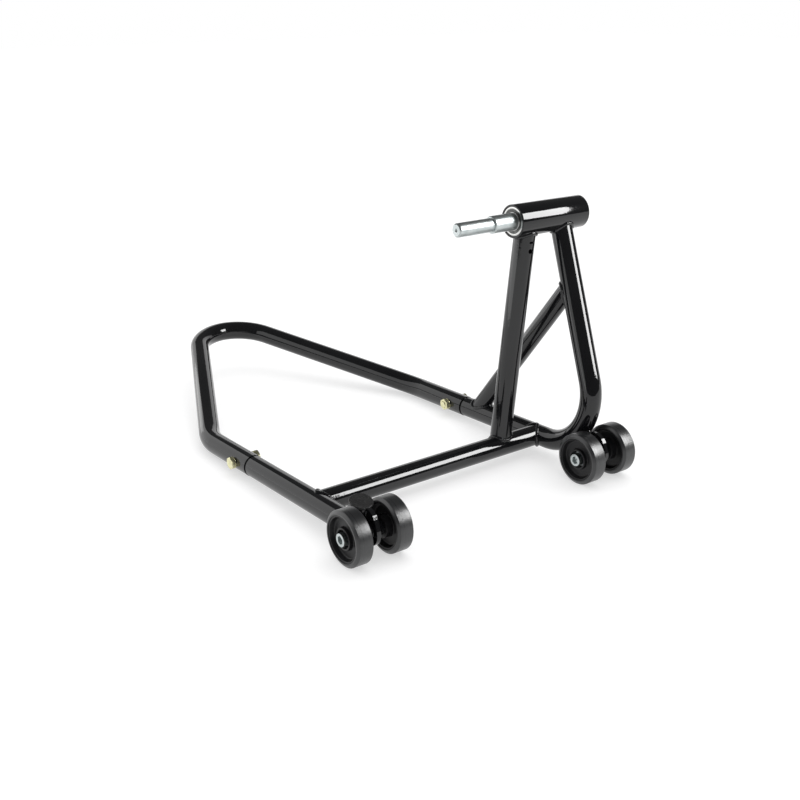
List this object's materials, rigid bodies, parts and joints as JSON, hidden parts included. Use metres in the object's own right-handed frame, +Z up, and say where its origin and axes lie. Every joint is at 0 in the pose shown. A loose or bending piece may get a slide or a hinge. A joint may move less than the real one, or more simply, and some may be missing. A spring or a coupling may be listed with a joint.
{
  "type": "motorcycle paddock stand",
  "caption": "Single-sided rear paddock stand: tube base on twin wheels, bolted handle loop, and an A-frame with a ball-bearing spindle for a hollow rear axle.",
  "frame": {"origin": "bottom centre of the bounding box, on the floor the stand rests on", "axes": "+Y from the wheels towards the handle, +X along the wheel axles from the spindle tip towards its barrel, +Z up"},
  "size_m": [0.524, 0.827, 0.389],
  "materials": {
    "black_powder_coat": "gloss black powder coat on steel tube",
    "zinc_steel": "bright blue-white zinc plate, fine turning marks",
    "yellow_zinc": "yellow passivated zinc plate",
    "bearing_steel": "ground and polished bearing steel",
    "shield_steel": "pressed steel, satin",
    "bush_steel": "plain turned steel",
    "tyre_rubber": "satin dark grey rubber",
    "hub_plastic": "moulded black nylon",
    "plug_plastic": "grained black polyethylene"
  },
  "bodies": {
    "frame": {"left_arm_tube": "black_powder_coat", "right_arm_tube": "black_powder_coat", "cross_tube": "black_powder_coat", "front_upright_tube": "black_powder_coat", "brace_tube": "black_powder_coat", "hub_barrel": "black_powder_coat", "left_wheel_lug": "black_powder_coat", "right_wheel_lug": "black_powder_coat", "left_axle_tube": "black_powder_coat", "right_axle_tube": "black_powder_coat", "left_arm_plug": "plug_plastic", "handle_loop": "black_powder_coat", "handle_bolts": "yellow_zinc", "handle_nuts": "yellow_zinc", "handle_washers": "yellow_zinc", "axle_screws": "zinc_steel", "axle_nuts": "zinc_steel", "axle_washers": "zinc_steel", "bearing_outer_races": "bearing_steel", "bearing_shields": "shield_steel"},
    "spindle": {"spindle_pin": "zinc_steel", "race_spacer": "zinc_steel", "spindle_circlip": "shield_steel", "bearing_inner_races": "bearing_steel"},
    "ball_set": {"bearing_balls": "bearing_steel", "bearing_cages": "shield_steel"},
    "left_outer_wheel": {"left_outer_tyre": "tyre_rubber", "left_outer_hub": "hub_plastic", "left_outer_bush": "bush_steel"},
    "left_inner_wheel": {"left_inner_tyre": "tyre_rubber", "left_inner_hub": "hub_plastic", "left_inner_bush": "bush_steel"},
    "right_outer_wheel": {"right_outer_tyre": "tyre_rubber", "right_outer_hub": "hub_plastic", "right_outer_bush": "bush_steel"},
    "right_inner_wheel": {"right_inner_tyre": "tyre_rubber", "right_inner_hub": "hub_plastic", "right_inner_bush": "bush_steel"}
  },
  "joints": [
    {"name": "spindle_spin", "type": "hinge", "parent": "frame", "child": "spindle", "pos_m": [0.12856, -0.2445, 0.365], "axis": [1, 0, 0], "continuous": true},
    {"name": "ball_orbit", "type": "hinge", "parent": "frame", "child": "ball_set", "pos_m": [0.12856, -0.2445, 0.365], "axis": [1, 0, 0], "continuous": true},
    {"name": "left_outer_wheel_spin", "type": "hinge", "parent": "frame", "child": "left_outer_wheel", "pos_m": [-0.24716, -0.376, 0.0375], "axis": [1, 0, 0], "continuous": true},
    {"name": "left_inner_wheel_spin", "type": "hinge", "parent": "frame", "child": "left_inner_wheel", "pos_m": [-0.18572, -0.376, 0.0375], "axis": [1, 0, 0], "continuous": true},
    {"name": "right_outer_wheel_spin", "type": "hinge", "parent": "frame", "child": "right_outer_wheel", "pos_m": [0.22028, -0.376, 0.0375], "axis": [1, 0, 0], "continuous": true},
    {"name": "right_inner_wheel_spin", "type": "hinge", "parent": "frame", "child": "right_inner_wheel", "pos_m": [0.15884, -0.376, 0.0375], "axis": [1, 0, 0], "continuous": true}
  ],
  "couplings": [
    {"joint": "ball_orbit", "follows": "spindle_spin", "ratio": 0.3976}
  ]
}
